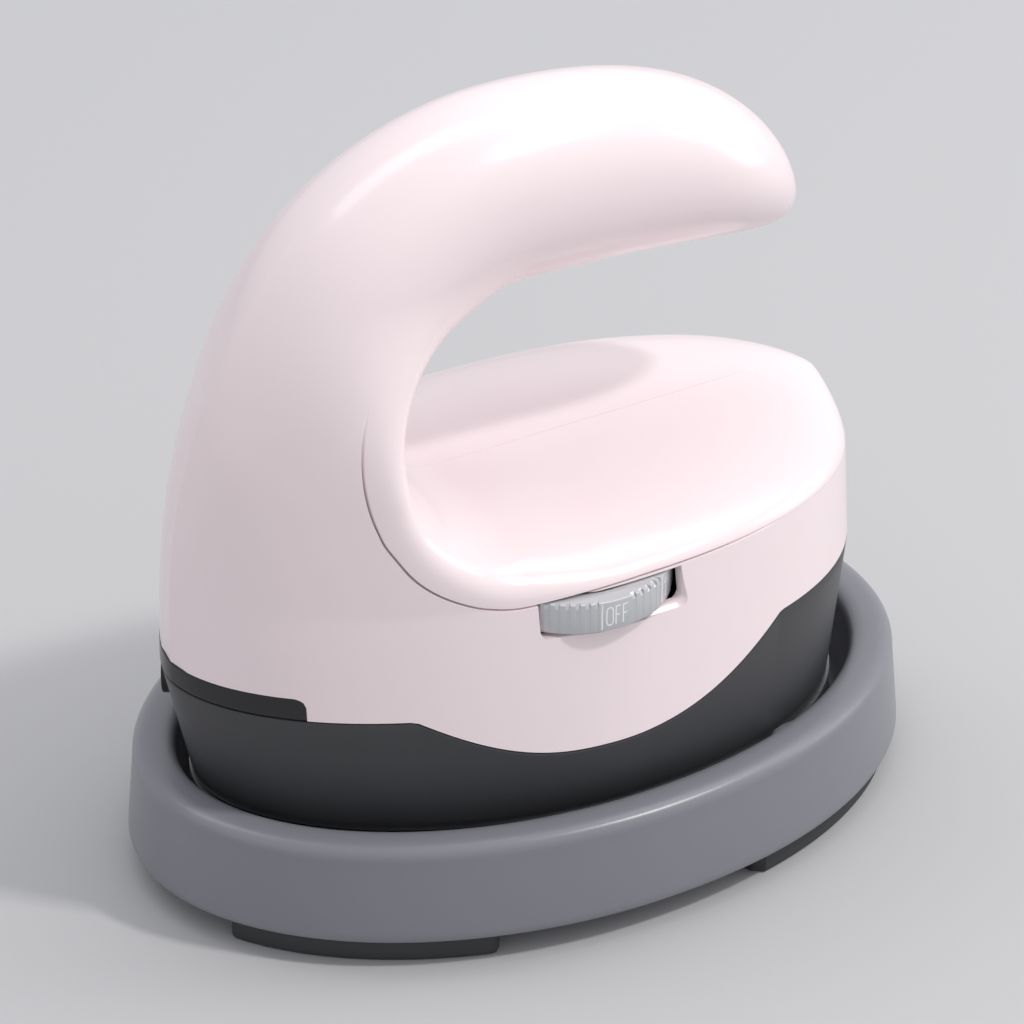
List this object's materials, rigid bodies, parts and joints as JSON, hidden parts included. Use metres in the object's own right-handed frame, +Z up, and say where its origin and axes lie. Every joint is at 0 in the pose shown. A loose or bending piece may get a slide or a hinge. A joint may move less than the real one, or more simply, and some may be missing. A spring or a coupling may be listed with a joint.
{
  "type": "handheld heat press",
  "caption": "Small hook-handled heat press with a crowned deck, a thumbwheel switch in its side, a heated sole plate and a separate oval rest tray.",
  "frame": {"origin": "centre of the bounding box's base, on the plane that the rubber feet stand on", "axes": "+X towards the open end of the hook handle, -Y towards the thumbwheel side, +Z up"},
  "size_m": [0.1428, 0.0998, 0.1362],
  "materials": {
    "tray": "matte moulded grey plastic",
    "mat": "heat-proof silicone",
    "foot": "soft grey rubber",
    "shell": "pale pink gloss",
    "screw": "zinc-plated steel",
    "housing": "satin dark grey",
    "black_gloss": "black gloss",
    "black_rubber": "black flexible plastic",
    "frame": "heat-resistant moulding",
    "plate": "coated cast aluminium",
    "element": "oxidised steel tube",
    "ceramic": "off-white ceramic",
    "strap": "bent sheet steel",
    "felt": "mineral felt",
    "sheet": "bright sheet",
    "sensor": "sleeved sensor",
    "fuse_link": "metal cartridge",
    "board": "green solder mask",
    "relay": "blue case",
    "capacitor": "sleeved can",
    "terminal": "green block",
    "contact": "sprung brass",
    "fuse_glass": "clear tube with metal caps",
    "switch": "black case",
    "shaft": "turned steel",
    "wheel": "silver-plated plastic"
  },
  "bodies": {
    "tray": {"base_tray": "tray", "rest_mat": "mat", "front_foot": "foot", "rear_foot_left": "foot", "rear_foot_right": "foot"},
    "press": {"shell_left": "shell", "shell_right": "shell", "shell_screws": "screw", "lower_housing": "housing", "cord_outlet_cover": "black_gloss", "cord_bushing": "black_rubber", "cord_clamp": "housing", "clamp_screws": "screw", "inner_frame": "frame", "frame_screws": "screw", "sole_plate": "plate", "heating_element": "element", "element_terminals": "ceramic", "element_straps": "strap", "plate_spacers": "ceramic", "plate_screws": "screw", "insulation_felt": "felt", "heat_shield": "sheet", "temperature_sensor": "sensor", "thermal_fuse": "fuse_link", "sensor_clips": "strap", "strap_screws": "screw", "control_board": "board", "board_screws": "screw", "relay": "relay", "capacitor": "capacitor", "terminal_block": "terminal", "fuse_holder": "contact", "glass_fuse": "fuse_glass", "switch_body": "switch", "switch_nut": "screw", "switch_bracket": "strap"},
    "dial": {"dial_shaft": "shaft", "thumbwheel": "wheel"}
  },
  "joints": [
    {"name": "press_lift", "type": "slide", "parent": "tray", "child": "press", "axis": [0, 0, 1], "range_m": [0, 0.06]},
    {"name": "dial_turn", "type": "hinge", "parent": "press", "child": "dial", "pos_m": [-0.0027, -0.0233, 0.058], "axis": [0, 0, -1], "range_deg": [0, 135]}
  ]
}
